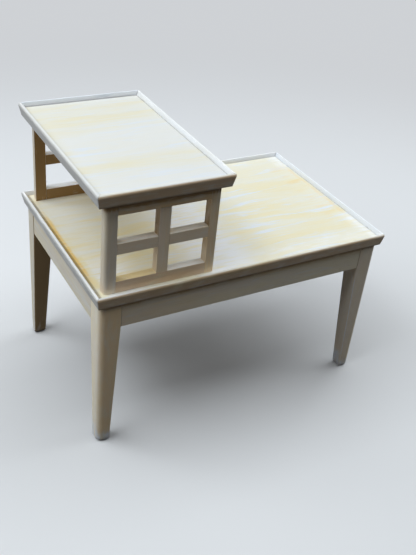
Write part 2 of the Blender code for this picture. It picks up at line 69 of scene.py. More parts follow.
# Colours, linear
CREAM = (0.776, 0.768, 0.660)
PALE = (0.775, 0.790, 0.775)
CHALK = (0.820, 0.835, 0.840)
BLONDE = (0.720, 0.670, 0.575)
STRAW = (0.807, 0.723, 0.434)
# The lime white is also the ground of two rims, a painted sky reflection there; the rubbed white also serves
# for painted highlights and painted light.
LIME_AND_SKY_WHITE = (0.735, 0.795, 0.870)
RUBBED_AND_LIT_WHITE = (0.900, 0.935, 0.985)
TAN = (0.540, 0.440, 0.300)
GOLD = (0.820, 0.590, 0.210)
STRAW_GOLD = (0.900, 0.700, 0.300)
HONEY = (0.890, 0.640, 0.345)
BRIGHT_HONEY = (0.940, 0.660, 0.330)
PEACH = (0.930, 0.730, 0.500)
BLUSH = (0.840, 0.660, 0.480)
ROSE = (0.840, 0.600, 0.410)
RUSSET = (0.360, 0.215, 0.080)
# The shaded brown and umber are painted shade on the legs and under the rims, the next three colours are
# painted shade on the rims' outsides, and the grime colour is dirt and also painted shade under the rims.
SHADED_BROWN = (0.380, 0.260, 0.130)
UMBER = (0.340, 0.225, 0.095)
WARM_SHADE_BROWN = (0.575, 0.405, 0.235)
GREY_SHADE = (0.510, 0.510, 0.500)
PALE_GREY_SHADE = (0.590, 0.590, 0.580)
SHADE_AND_GRIME = (0.105, 0.063, 0.024)
BARE_LIGHT = (0.560, 0.420, 0.255)
BARE_DARK = (0.400, 0.275, 0.150)
STEEL_LIGHT = (0.500, 0.480, 0.450)
STEEL_DARK = (0.200, 0.180, 0.160)
GLIDE_DARK = (0.035, 0.032, 0.030)
GLIDE_WORN = (0.220, 0.205, 0.190)

# Finishes: inputs of the limed wood that are the same all over a board. Its marks give the others.
FINISHES = {
    "lower_panel": {"Ground": CREAM, "Grain": 0.08, "Stain Color": GOLD},
    # The step panel's paleness below 1 is painted shade, set against the stronger light on the higher panel.
    "step_panel": {"Grain": 0.08, "Light And Paleness": 0.885},
    "rim": {"Grain": 0.12},
    "frame": {"Ground": BLONDE, "Straw": 0.30, "Lime And Sky Reflection": 0.35, "Grain": 0.36, "Light And Paleness": 1.15},
    "lattice": {"Ground": BLONDE, "Straw": 0.30, "Lime And Sky Reflection": 0.30, "Grain": 0.32},
}

# Rims: ground colour, colour of the painted shade on the outside, how strongly straw and lime streaks show,
# how white the lip (rubbed, and a painted highlight) and inner slope (painted light) are, and the paleness.
# These differ by side partly as painted light. The bluish white ground of the lower right and step back rims
# and their strong lime are a painted sky reflection.
RIM_TONES = {
    "lower_rim_front": (CHALK, WARM_SHADE_BROWN, 0.90, 0.20, 0.25, 0.25, 0.96),
    "lower_rim_right": (LIME_AND_SKY_WHITE, GREY_SHADE, 0.00, 0.90, 1.00, 0.90, 1.15),
    "lower_rim_back": (CHALK, WARM_SHADE_BROWN, 0.10, 0.30, 1.00, 0.90, 1.16),
    "lower_rim_left": (CHALK, GREY_SHADE, 0.10, 0.50, 1.00, 0.90, 1.14),
    "step_rim_front": (CHALK, WARM_SHADE_BROWN, 0.40, 0.20, 0.15, 0.15, 0.83),
    "step_rim_right": (CHALK, GREY_SHADE, 0.00, 0.30, 0.50, 0.60, 1.02),
    "step_rim_back": (LIME_AND_SKY_WHITE, WARM_SHADE_BROWN, 0.00, 1.00, 0.00, 1.00, 1.00),
    "step_rim_left": (CHALK, PALE_GREY_SHADE, 0.10, 0.50, 0.05, 0.40, 0.86),
}

# Lattice bars: tint of the wood, its strength, its strength at the foot, and the paleness, which differs from
# bar to bar partly as painted light, set to how brightly each bar is lit under the step.
BAR_TONES = {
    "outer_stile": (BLUSH, 0.25, 0.70, 1.06),
    "inner_stile": (BRIGHT_HONEY, 0.62, 0.80, 1.28),
    "top_rail": (BRIGHT_HONEY, 0.75, 0.75, 1.30),
    "bottom_rail": (ROSE, 0.70, 0.70, 1.10),
    "mullion": (PEACH, 0.60, 0.60, 1.30),
    "cross_bar_left": (PEACH, 0.60, 0.60, 1.30),
    "cross_bar_right": (PEACH, 0.60, 0.60, 1.30),
}

# Patterns: features per metre on each axis (the grain's first in wood), detail, roughness, distortion
SWAY = ((3.2, 8.0, 8.0), 2.0)
BANDS = ((2.0, 14.0, 14.0), 3.0, 0.55)
STREAKS = ((6.0, 54.0, 54.0), 4.0, 0.6, 0.4)
HAIRS = ((15.0, 260.0, 260.0), 3.0, 0.6)
WASHES = ((5.5, 56.0, 56.0), 4.0, 0.62, 0.5)
WISPS = ((13.0, 250.0, 250.0), 3.0, 0.6)
GRAIN_LINES = ((7.0, 420.0, 420.0), 4.0, 0.62)
FIBRES = ((24.0, 1300.0, 1300.0), 2.0, 0.6)
PORES = ((75.0, 1700.0, 1700.0), 1.0)
RUBBING = ((16.0, 130.0, 130.0), 3.0, 0.6)
BLOTCHES = ((24.0, 50.0, 50.0), 3.0)
BARE_FIGURE = ((2.5, 70.0, 70.0), 4.0, 0.6, 0.2)
BARE_FIBRES = ((20.0, 900.0, 900.0), 2.0, 0.6)
SAW_MARKS = ((420.0, 9.0, 9.0), 2.0, 0.5)
MOTTLING = ((420.0, 420.0, 420.0), 4.0, 0.65)
SCRATCHES = ((2600.0, 240.0, 900.0), 2.0, 0.6)
FRAYING = ((55.0, 16.0, 1.0), 4.0, 0.6)
PATCHES = ((14.0, 70.0, 1.0), 4.0, 0.6)
SCUFFS = ((60.0, 60.0, 22.0), 3.0, 0.6)

# Weights of the patterns in what they make up
STRAW_WEIGHTS = (0.44, 0.44, 0.12)
LIME_WEIGHTS = (0.72, 0.28, -0.15)
TONE_WEIGHTS = (0.7, 0.3)
BLOTCH_WEIGHTS = (0.6, 0.4)
HEIGHT_WEIGHTS = (0.4, 0.7, -0.45)
SAWN_WEIGHTS = (0.7, 0.4)
SCUFF_WEIGHTS = (1.0, -0.05, 0.018)

# Spans over which a pattern comes in, with both strengths where these aren't none and full
STRAW_SPAN = (0.43, 0.6)
LIME_SPAN = (0.43, 0.56)
GRAIN_SPAN = (0.48, 0.72)
PORE_SPAN = (0.63, 0.74)
WEAR_AND_HIGHLIGHT_SPAN = (0.28, 0.58)
STAIN_AND_SHADE_SPAN = (0.3, 0.56, 0.35, 1.0)
DIRT_AND_SHADE_SPAN = (0.15, 0.55, 0.55, 1.0)
BARE_FIGURE_SPAN = (0.35, 0.68)
BARE_FIBRE_SPAN = (0.45, 0.75, 0.0, 0.45)
SAW_SPAN = (0.52, 0.7, 0.0, 0.18)
MOTTLE_SPAN = (0.35, 0.65)
SCRATCH_SPAN = (0.58, 0.72, 0.0, 0.5)
PATCH_SPAN = (0.44, 0.62)

# Surfaces. A roughness is how far its pattern raises it, and its least value.
SWAY_DEPTH = 0.045
WASH_SHIFT = (4.7, 2.9, 1.3)
PORE_SHARE = 0.3
LIMED_ROUGHNESS = (0.2, 0.42)
DIRT_ROUGHNESS = 0.2
BARE_ROUGHNESS = (0.2, 0.58)
BARE_SIDE_ROUGHNESS = 0.2
GLIDE_ROUGHNESS = (0.25, 0.32)
SCREW_ROUGHNESS = (0.25, 0.3)
LIMED_GLOSS = 0.3
METALLIC = 0.85
LIMED_BUMP = 0.00012
BARE_BUMP = 0.00015
METAL_BUMP = 0.00004
BOARD_SHIFT = (1.37, 2.11, 3.53)
BOARD_SHIFT_REACH = 7.0
BOARD_SHIFT_START = 3.0
FACING_LIMIT = 0.8
TURNED_SPAN = (0.1, 0.95)

# Marks fade over a span in metres, from the first strength to the second. Bands have a start, a stop, a
# softness and a strength. A strength of SOLID leaves no gap in a stain.
SOLID = 1.9
ARRIS_WEAR = (0.0004, 0.003, 0.12, 0.0)

# Boards under a rim: painted shade below their top, as a brown tint and a darkening, and an apron's joints
# and warm left part
APRON_SHADE_TINT = (0.002, 0.018, 1.1, 0.0)
LEG_SHADE_TINT = (0.001, 0.014, 1.1, 0.0)
LATTICE_SHADE_TINT = (0.01, 0.023, 1.1, 0.0)
APRON_SHADE_DARK = (0.001, 0.009, 0.95, 0.0)
LATTICE_SHADE_DARK = (0.005, 0.016, 0.95, 0.0)
APRON_JOINT = (0.0004, 0.0016, 0.2, 0.0)
APRON_WARMTH = 0.32
APRON_WARM_END = 0.3

# Rims, by the distance from their edges and faces
# The lip's white is partly wear and partly a painted highlight
LIP_HIGHLIGHT_AND_WEAR = (0.001, 0.006)
SLOPE_EDGE = 0.001
MITRE_DIRT = (0.0003, 0.0016, 0.35, 0.0)
# A darker line along the rim's inner foot, where it meets the panel
RIM_INNER_DARK_LINE = (0.0006, 0.0018, 0.22, 0.0)
RIM_DARK_LINE_RISE = 4.0
# Painted shade on the long rims' lower part, and on the outside below its rounded top edge
RIM_UNDER_SHADE = (0.001, 0.005, 0.65, 0.0)
RIM_FACE_SLANT = -0.25
RIM_FACE_TOP = (0.0, 0.0024)
RIM_FACE_DEPTH = (0.001, 0.003, 1.0, 0.0)
OUTSIDE_SHADE_SHARE = 0.85

# Lower panel, by the distance in from an edge
FRAY_DEPTH = 0.024
LEFT_FRAY = 0.4
LEFT_GOLD = (0.009, 0.0165, 1.0, 0.0)
LEFT_GOLD_FRONT = (0.03, 0.12)
LEFT_GOLD_BACK = (0.05, 0.16, 0.15, 1.0)
# A darker line along the left rim
LEFT_DARK_LINE = (0.004, 0.0075, 0.55, 0.0)
RIGHT_GOLD_FRONT = (0.09, 0.14)
RIGHT_GOLD_BACK = (0.03, 0.09)
RIGHT_GOLD_LINE = (0.005, 0.013, 0.004, 0.3)
RIGHT_GOLD = (0.01, 0.055, 0.014, 0.36)
RIGHT_RUBBED = (0.008, 0.036, 0.65, 0.0)
RIGHT_RUBBED_RUN = (0.0, 1.0, 1.0, 0.1)
FRONT_RUBBED = (0.016, 0.04, 0.012)
FRONT_RUBBED_LEFT = (0.16, 0.24)
FRONT_RUBBED_PATCHES = (0.0, 0.6, 0.55, 0.2)
CORNER_RUBBED = (0.016, 0.026)
CORNER_RUBBED_LEFT = (0.06, 0.13, 1.0, 0.0)
CORNER_RUBBED_FRONT = (0.05, 0.2, 0.7, 0.15)
# A white band beside the step, partly wear and partly painted light against the step's shadow
RUBBED_AND_LIT_MIDDLE = (0.225, 0.35, 0.035)
RUBBED_AND_LIT_MIDDLE_BACK = (0.08, 0.2, 0.2, 0.9)
# A darker line along the right, front and back rims
LOWER_EDGE_DARK_LINE = (0.0004, 0.0016, 0.25, 0.0)
STRAW_LEFT = (0.1, 0.25, 1.088, 0.68)
STRAW_FRONT = (0.0, 0.1, 0.6, 1.0)
STRAW_BACK = (0.02, 0.2, 0.3, 1.0)
LIME_LEFT = (0.12, 0.25, 0.3, 1.0)
# Paleness as painted light: highest just right of the step, against the shade there, lower to both sides
PALENESS_LIT_LEFT = (0.12, 0.25, 1.0355, 1.1227)
PALENESS_LIT_RIGHT = (0.3, 0.62, 1.0, 0.9)

# Step panel: where it is creamy, and how straw and lime follow that: a factor and the strength without it
BACK_CREAM = (0.28, 0.4, 0.05)
FRONT_CREAM = (0.085, 0.125, 0.025)
LEFT_CREAM = (0.0, 0.03, 0.7, 0.0)
CREAM_SHARE = 0.55
STEP_STRAW = (0.38, 0.12)
STEP_LIME = (-0.3, 0.8)
# Darker lines along the back and left rims and the other edges
STEP_BACK_DARK_LINE = (0.0006, 0.0026, 0.75, 0.0)
STEP_LEFT_DARK_LINE = (0.003, 0.007, 0.12, 0.0)
STEP_EDGE_DARK_LINE = (0.0004, 0.0016, 0.5, 0.0)

# Legs, by height. INNER_FRONT is the direction of the right front leg's inner front edge.
INNER_FRONT = (-math.sqrt(0.5), -math.sqrt(0.5), 0.0)
FOOT_WEAR = (0.004, 0.026, 1.0, 0.0)
FOOT_DIRT = (0.0004, 0.0016, 0.6, 0.0)
BACK_FOOT_WEAR = 0.5
# Painted light and shade on the legs: the near leg's paleness on the left and tint in front, the right leg's
# tint and shade, and the white along its inner front edge as a painted highlight
NEAR_LEG_LIME = 0.12
NEAR_LEG_FRONT_SHADE_TINT = 0.65
NEAR_LEG_LIT_PALENESS = 0.24
RIGHT_LEG_LIME = 0.15
RIGHT_LEG_SHADE_TINT = 0.3
RIGHT_LEG_PALENESS = 1.2
RIGHT_LEG_SHADE = (0.2, 0.31, 0.0, 0.7)
RIGHT_LEG_HIGHLIGHT = (0.88, 0.98)
RIGHT_LEG_HIGHLIGHT_TOP = (0.26, 0.3, 0.9, 0.0)

# Lattices: the uprights' sides that face an opening, and spans from where the bars cross
REVEALS = {"outer_stile": (1,), "inner_stile": (-1,), "mullion": (1, -1)}
# Painted shade: the openings' russet is stronger towards the step. Painted light: the bars' tops are white.
REVEAL_SHADE = (-0.04, 0.02, 0.4, 0.9)
BAR_FOOT = 0.03
GOLDEN_BAY = (-0.006, 0.006, 0.8, 0.0)
GOLDEN_HUE = (0.0, 0.2)
TOP_PAINTED_LIGHT = {-1: 0.6, 1: 1.0}

# Section of the tray rims
RIM_UNDERCUT = 0.0055
RIM_BAND = 0.006
RIM_BAND_ROUND = 0.009
RIM_INNER_SLOPE = 0.004
RIM_OUTER_ROUND = 0.0048
RIM_INNER_ROUND = 0.0015
RIM_FOOT_ROUND = 0.0015
TRAY_CORNER_ROUND = 0.005

# Legs, bars and fixings. The foot's curve is in shares of its ease. The glide's section is the distance in
# from its side and the share of its height.
FOOT_SIZE = 0.028
FOOT_EASE = 0.004
FOOT_CURVE = ((0.0, 1.0), (0.3, 0.29), (1.0, 0.0))
LEG_CORNER_ROUND = 0.014
LEG_EDGE_ROUND = 0.0025
LEG_BEND = 0.006
APRON_ROUND = 0.0015
STILE_ROUND = 0.008
BAR_ROUND = 0.0008
PANEL_EASE = 0.0004
GLIDE_SECTION = ((0.0016, 0.0), (0.0009, 0.2), (0.0003, 0.45), (0.0, 0.65), (0.0003, 0.85), (0.0008, 1.0))
SCREW_RIM = 0.0003
SCREW_HEAD = 0.0025
SCREW_POINT = 0.005
SCREW_SLOT_WIDTH = 0.0009
SCREW_SLOT_DEPTH = 0.0011
SCREW_SLOT_RUN = 2.2
SCREW_SLOT_TURN = 0.6

# Making of the meshes
CLEARANCE = 0.0003
JOINT_EASE = 0.00015
JOINT_EASE_RUN = 0.0005
RING_SPACING = 0.012
ARC_STEPS = 6
MITRE_STEPS = 5
TURNED_STEPS = 40
WOBBLE = 0.00012
WOBBLE_RATE = 28.0
SMOOTH_ANGLE = math.radians(38)

# The long sides, which the rims shade, the signs of x and y at each corner, and the axes by grain
LONG_SIDES = ("front", "back")
CORNERS = {"front_left": (-1, -1), "front_right": (1, -1), "back_right": (1, 1), "back_left": (-1, 1)}
GRAIN_ORDER = {"x": (0, 1, 2), "y": (1, 0, 2), "z": (2, 0, 1)}
UP = Vector((0, 0, 1))


class Shader:
    """Adds shader nodes to a tree, one call each. A value is a number, a tuple or another node's socket."""

    def __init__(self, tree):
        self.tree = tree

    def feed(self, socket, value):
        if isinstance(value, bpy.types.NodeSocket):
            self.tree.links.new(value, socket)
        elif socket.type == "RGBA":
            socket.default_value = (*value, 1.0)
        else:
            socket.default_value = value

    def node(self, kind, inputs=None, **settings):
        node = self.tree.nodes.new(kind)
        for name, value in settings.items():
            setattr(node, name, value)
        for key, value in (inputs or {}).items():
            self.feed(node.inputs[key], value)
        return node

    def feed_all(self, sockets, values):
        for socket, value in zip(sockets, values):
            self.feed(socket, value)

    def math(self, operation, *values):
        node = self.node("ShaderNodeMath", operation=operation)
        self.feed_all(node.inputs, values)
        return node.outputs[0]

    def chain(self, operation, *values):
        """Take one value after another into an operation's result."""
        result = values[0]
        for value in values[1:]:
            result = self.math(operation, result, value)
        return result

    def product(self, *values):
        return self.chain("MULTIPLY", *values)

    def largest(self, *values):
        return self.chain("MAXIMUM", *values)

    def smallest(self, *values):
        return self.chain("MINIMUM", *values)

    def plus(self, first, second):
        return self.math("ADD", first, second)

    def minus(self, first, second):
        return self.math("SUBTRACT", first, second)

    def apart(self, first, second):
        return self.math("ABSOLUTE", self.minus(first, second))

    def scaled(self, value, factor, offset):
        return self.math("MULTIPLY_ADD", value, factor, offset)

    def weighted(self, values, weights):
        result = 0.0
        for value, weight in zip(values, weights):
            result = self.scaled(value, weight, result)
        return result

    def vector(self, operation, *values):
        node = self.node("ShaderNodeVectorMath", operation=operation)
        sockets = [node.inputs[0], node.inputs["Scale"]] if operation == "SCALE" else node.inputs
        self.feed_all(sockets, values)
        return node.outputs["Value" if operation in ("DOT_PRODUCT", "LENGTH") else "Vector"]

    def split(self, vector):
        return self.node("ShaderNodeSeparateXYZ", {0: vector}).outputs

    def joined(self, parts):
        return self.node("ShaderNodeCombineXYZ", parts).outputs[0]

    def own_place(self):
        return self.node("ShaderNodeTexCoord").outputs["Object"]

    def noise(self, place, rate, detail, roughness=0.5, distortion=0.0):
        """Noise whose features are 1/rate metres long on each axis."""
        scaled = self.vector("MULTIPLY", place, rate)
        node = self.node("ShaderNodeTexNoise", {
            "Vector": scaled, "Scale": 1.0, "Detail": detail, "Roughness": roughness,
            "Distortion": distortion})
        return node.outputs["Fac"]

    def ease(self, value, low, high, start=0.0, stop=1.0):
        """Smooth step from start, at low, to stop, at high."""
        node = self.node("ShaderNodeMapRange", {
            "Value": value, "From Min": low, "From Max": high, "To Min": start, "To Max": stop},
            interpolation_type="SMOOTHSTEP")
        return node.outputs["Result"]

    def band(self, value, start, stop, soft, full=1.0):
        """Full between start and stop, fading over soft on both sides."""
        rise = self.ease(value, start - soft, start + soft)
        return self.product(rise, self.ease(value, stop - soft, stop + soft, full, 0.0))

    def mix(self, factor, first, second):
        inputs = {0: factor, 6: first, 7: second}
        return self.node("ShaderNodeMix", inputs, data_type="RGBA", clamp_factor=True).outputs[2]

    def tinted(self, colour, tint, share, pattern, span):
        """Colour with a share of a tint over it where a pattern comes in."""
        return self.mix(self.product(share, self.ease(pattern, *span)), colour, tint)


def new_group(name, inputs):
    """Return the tree of a wood's node group, with its input and output sockets."""
    tree = bpy.data.node_groups.new(name, "ShaderNodeTree")
    outputs = {"Color": "Color", "Roughness": "Float", "Height": "Float"}
    for direction, sockets in (("INPUT", inputs), ("OUTPUT", outputs)):
        for label, kind in sockets.items():
            tree.interface.new_socket(label, in_out=direction, socket_type="NodeSocket" + kind)
    return tree, tree.nodes.new("NodeGroupInput").outputs, tree.nodes.new("NodeGroupOutput").inputs


def make_limed_group():
    """Limed wood: a pale ground with straw and lime streaks and fine grain lines along the first axis.

    Over these lie white where the wood is rubbed and where a highlight is painted, a stain that has stayed in
    it and a tint of painted shade, and dirt and a darkening of painted shade.
    """
    tree, given, result = new_group("limed_wood", {
        "Place": "Vector", "Ground": "Color", "Straw": "Float", "Lime And Sky Reflection": "Float", "Grain": "Float",
        "Light And Paleness": "Float", "Highlight And Wear": "Float", "Shade And Stain": "Float", "Stain Color": "Color", "Shade And Dirt": "Float"})
    make = Shader(tree)
    place = given["Place"]
    drift = make.product(make.minus(make.noise(place, *SWAY), 0.5), SWAY_DEPTH)
    bent = make.vector("ADD", place, make.joined({"Y": drift, "Z": drift}))
    other = make.vector("ADD", bent, WASH_SHIFT)
    bands = make.noise(bent, *BANDS)
    streaks = make.noise(bent, *STREAKS)
    hairs = make.noise(bent, *HAIRS)
    washes = make.noise(other, *WASHES)
    wisps = make.noise(other, *WISPS)
    ragged = make.noise(place, *RUBBING)
    straw = make.weighted((bands, streaks, hairs), STRAW_WEIGHTS)
    lime = make.weighted((washes, wisps, bands), LIME_WEIGHTS)
    tone = make.weighted((make.noise(bent, *GRAIN_LINES), make.noise(bent, *FIBRES)), TONE_WEIGHTS)
    pores = make.ease(make.noise(bent, *PORES), *PORE_SPAN)
    blotch = make.weighted((make.noise(place, *BLOTCHES), hairs), BLOTCH_WEIGHTS)

    colour = make.tinted(given["Ground"], STRAW, given["Straw"], straw, STRAW_SPAN)
    colour = make.tinted(colour, LIME_AND_SKY_WHITE, given["Lime And Sky Reflection"], lime, LIME_SPAN)
    colour = make.tinted(colour, TAN, given["Grain"], tone, GRAIN_SPAN)
    colour = make.mix(make.product(pores, PORE_SHARE), colour, LIME_AND_SKY_WHITE)
    colour = make.vector("SCALE", colour, given["Light And Paleness"])
    # Wear also carries painted highlights, and Stain and Dirt also carry painted shade
    colour = make.tinted(colour, RUBBED_AND_LIT_WHITE, given["Highlight And Wear"], ragged, WEAR_AND_HIGHLIGHT_SPAN)
    colour = make.tinted(colour, given["Stain Color"], given["Shade And Stain"], blotch, STAIN_AND_SHADE_SPAN)
    colour = make.tinted(colour, SHADE_AND_GRIME, given["Shade And Dirt"], ragged, DIRT_AND_SHADE_SPAN)
    roughness = make.scaled(wisps, *LIMED_ROUGHNESS)

    make.feed(result["Color"], colour)
    make.feed(result["Roughness"], make.scaled(given["Shade And Dirt"], DIRT_ROUGHNESS, roughness))
    make.feed(result["Height"], make.weighted((streaks, tone, pores), HEIGHT_WEIGHTS))
    return tree


def make_bare_group():
    """Unfinished wood of the hidden pieces: plain brown grain with saw marks across it."""
    tree, given, result = new_group("bare_wood", {"Place": "Vector"})
    make = Shader(tree)
    place = given["Place"]
    figure = make.noise(place, *BARE_FIGURE)
    fibres = make.noise(place, *BARE_FIBRES)
    saw = make.noise(place, *SAW_MARKS)
    colour = make.mix(make.ease(figure, *BARE_FIGURE_SPAN), BARE_LIGHT, BARE_DARK)
    colour = make.mix(make.ease(fibres, *BARE_FIBRE_SPAN), colour, BARE_DARK)
    colour = make.mix(make.ease(saw, *SAW_SPAN), colour, BARE_DARK)
    make.feed(result["Color"], colour)
    make.feed(result["Roughness"], make.scaled(fibres, *BARE_ROUGHNESS))
    make.feed(result["Height"], make.weighted((saw, fibres), SAWN_WEIGHTS))
    return tree


LIMED = make_limed_group()
BARE = make_bare_group()
made_materials = []


def new_material(name):
    """Return a material, its shader builder and its Principled node."""
    material = bpy.data.materials.new(name)
    material.use_nodes = True
    made_materials.append(material)
    return material, Shader(material.node_tree), material.node_tree.nodes["Principled BSDF"]


def board_place(make, grain):
    """Return the object's own coordinates, and those with the grain's axis first, shifted per board."""
    place = make.own_place()
    parts = make.split(place)
    turned = make.joined({index: parts[axis] for index, axis in enumerate(GRAIN_ORDER[grain])})
    board = len(made_materials)
    shift = tuple((board * step) % BOARD_SHIFT_REACH + BOARD_SHIFT_START for step in BOARD_SHIFT)
    return place, make.vector("ADD", turned, shift)


def finish_surface(make, shader, colour, roughness, height, depth):
    """Wire colour, roughness and bump into the Principled node."""
    make.feed(shader.inputs["Base Color"], colour)
    make.feed(shader.inputs["Roughness"], roughness)
    bump = make.node("ShaderNodeBump", {"Strength": 1.0, "Distance": depth, "Height": height})
    make.feed(shader.inputs["Normal"], bump.outputs["Normal"])


def limed(name, grain, finish, marks, details, bare_side=None):
    """Return limed wood in one of the finishes. marks(make, place, *details) gives the group's other inputs.

    bare_side is the direction of the face left unfinished, if there is one.
    """
    material, make, shader = new_material(name)
    place, along = board_place(make, grain)
    wood = make.node("ShaderNodeGroup", node_tree=LIMED)
    settings = {"Place": along, **FINISHES[finish], **marks(make, place, *details)}
    for label, value in settings.items():
        make.feed(wood.inputs[label], value)
    colour, roughness, height = wood.outputs
    if bare_side:
        plain = make.node("ShaderNodeGroup", {"Place": along}, node_tree=BARE)
        unfinished = facing(make, bare_side)
        colour = make.mix(unfinished, colour, plain.outputs["Color"])
        roughness = make.scaled(unfinished, BARE_SIDE_ROUGHNESS, roughness)
    shader.inputs["Specular IOR Level"].default_value = LIMED_GLOSS
    finish_surface(make, shader, colour, roughness, height, LIMED_BUMP)
    return material


def facing(make, side):
    """Return 1 where the surface faces a direction."""
    normal = make.node("ShaderNodeNewGeometry").outputs["True Normal"]
    return make.math("GREATER_THAN", make.vector("DOT_PRODUCT", normal, side), FACING_LIMIT)


def turned_to(make, side, span=TURNED_SPAN):
    """Return how far the surface is turned to a direction, rising smoothly round a rounded edge."""
    normal = make.node("ShaderNodeNewGeometry").outputs["Normal"]
    return make.ease(make.vector("DOT_PRODUCT", normal, side), *span)


def bare(name, grain):
    """Return unfinished wood."""
    material, make, shader = new_material(name)
    wood = make.node("ShaderNodeGroup", {"Place": board_place(make, grain)[1]}, node_tree=BARE)
    finish_surface(make, shader, *wood.outputs, BARE_BUMP)
    return material


def metal(name, light, dark, roughness):
    """Return dull metal, mottled and scratched."""
    material, make, shader = new_material(name)
    place = make.own_place()
    mottle = make.noise(place, *MOTTLING)
    scratches = make.noise(place, *SCRATCHES)
    colour = make.mix(make.ease(mottle, *MOTTLE_SPAN), light, dark)
    colour = make.mix(make.ease(scratches, *SCRATCH_SPAN), colour, light)
    shader.inputs["Metallic"].default_value = METALLIC
    finish_surface(make, shader, colour, make.scaled(mottle, *roughness), scratches, METAL_BUMP)
    return material


def worn_arrises(make, place, low, high):
    """Return how worn a box-shaped board is near its edges.

    The nearest edge lies at the middle one of the three distances to the pairs of faces.
    """
    away = make.vector("ABSOLUTE", make.vector("SUBTRACT", place, tuple((low + high) / 2)))
    x, y, z = make.split(make.vector("SUBTRACT", tuple((high - low) / 2), away))
    edge = make.largest(make.smallest(x, y), make.smallest(make.largest(x, y), z))
    return make.ease(edge, *ARRIS_WEAR)


def painted_shade_under_rim(make, place, high, brown, shade_dark):
    """Return the painted shade under a rim along a board's top, as a brown tint and a darkening."""
    below = make.minus(high.z, make.split(place)[2])
    return make.ease(below, *brown), make.ease(below, *shade_dark)


def apron_marks(make, place, low, high, axis, side):
    """Return the masks of an apron: worn arrises, a faint dark joint at each end.

    The front and back ones get painted shade under the rim, a brown tint and a darkening, and are warmer
    towards the left.
    """
    along = make.split(place)[axis]
    end = make.smallest(make.minus(along, low[axis]), make.minus(high[axis], along))
    masks = {"Highlight And Wear": worn_arrises(make, place, low, high), "Shade And Dirt": make.ease(end, *APRON_JOINT)}
    if side in LONG_SIDES:
        # Painted shade under the rim: a brown tint and a darkening below the apron's top
        brown, shade_dark = painted_shade_under_rim(make, place, high, APRON_SHADE_TINT, APRON_SHADE_DARK)
        warm = make.ease(along, low[axis], APRON_WARM_END * high[axis], APRON_WARMTH, 0.0)
        masks["Shade And Stain"] = make.largest(brown, warm)
        masks["Stain Color"] = make.mix(brown, HONEY, UMBER)
        masks["Shade And Dirt"] = make.largest(masks["Shade And Dirt"], shade_dark)
    return masks


def rounded_outline(corners):
    """Return an outline's points, with each (x, y, radius) corner turned into an arc."""
    points = []
    for index, (x, y, radius) in enumerate(corners):
        here = Vector((x, y))
        if radius == 0:
            points.append(here)
            continue
        before = Vector(corners[index - 1][:2]) - here
        after = Vector(corners[(index + 1) % len(corners)][:2]) - here
        half_angle = before.angle(after) / 2
        reach = radius / math.tan(half_angle)
        towards = (before.normalized() + after.normalized()).normalized()
        centre = here + towards * radius / math.sin(half_angle)
        first = here + before.normalized() * reach - centre
        last = here + after.normalized() * reach - centre
        start = math.atan2(first.y, first.x)
        sweep = math.atan2(last.y, last.x) - start
        sweep = (sweep + math.pi) % (2 * math.pi) - math.pi
        for step in range(ARC_STEPS + 1):
            angle = start + sweep * step / ARC_STEPS
            points.append(centre + radius * Vector((math.cos(angle), math.sin(angle))))
    return points


def shrunk(outline, amounts):
    """Return an outline with each point drawn inwards by its own amount."""
    count = len(outline)
    area = sum(outline[i - 1].cross(outline[i]) for i in range(count))
    turn = 1 if area > 0 else -1
    drawn = []
    for index, point in enumerate(outline):
        back = (point - outline[index - 1]).normalized()
        ahead = (outline[(index + 1) % count] - point).normalized()
        along = (back + ahead).normalized()
        drawn.append(point + turn * amounts[index] * Vector((-along.y, along.x)))
    return drawn


def wobble(point):
    """Return how far hand sanding has taken the surface in at a point."""
    return WOBBLE * (0.5 + 0.5 * noise.noise(point * WOBBLE_RATE))


def stations(start, stop):
    """Return evenly spaced places from start to stop, about a ring's spacing apart."""
    count = max(2, round(abs(stop - start) / RING_SPACING))
    return [start + (stop - start) * step / count for step in range(count + 1)]


def loft(name, rings, transform=None):
    """Return an object whose skin runs through rings of 3D points, closed at both ends."""
    bm = bmesh.new()
    skin = [[bm.verts.new(point) for point in ring] for ring in rings]
    count = len(rings[0])
    for ring, following in zip(skin, skin[1:]):
        for index in range(count):
            after = (index + 1) % count
            bm.faces.new((ring[index], ring[after], following[after], following[index]))
    bm.faces.new(skin[0])
    bm.faces.new(skin[-1])
    if transform:
        bm.transform(transform)
    bmesh.ops.recalc_face_normals(bm, faces=bm.faces[:])
    return mesh_object(name, bm)


def add_object(name, data):
    """Return a new object in the scene."""
    obj = bpy.data.objects.new(name, data)
    bpy.context.scene.collection.objects.link(obj)
    return obj


def mesh_object(name, bm):
    """Turn a bmesh into a smooth-shaded object with flat faces kept flat."""
    mesh = bpy.data.meshes.new(name)
    bm.to_mesh(mesh)
    bm.free()
    mesh.shade_smooth()
    mesh.set_sharp_from_angle(angle=SMOOTH_ANGLE)
    obj = add_object(name, mesh)
    obj.modifiers.new("flat_faces", "WEIGHTED_NORMAL").keep_sharp = True
    return obj


def stand_for(obj, node, material):
    """Put a piece in a node's place."""
    obj.data.materials.append(material)
    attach(obj, "root")
    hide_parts(node)


def solid_point(flat, place, axis):
    """Return the point at a place along an axis, from its coordinates on the other two axes."""
    values = list(flat)
    values.insert(axis, place)
    return Vector(values)


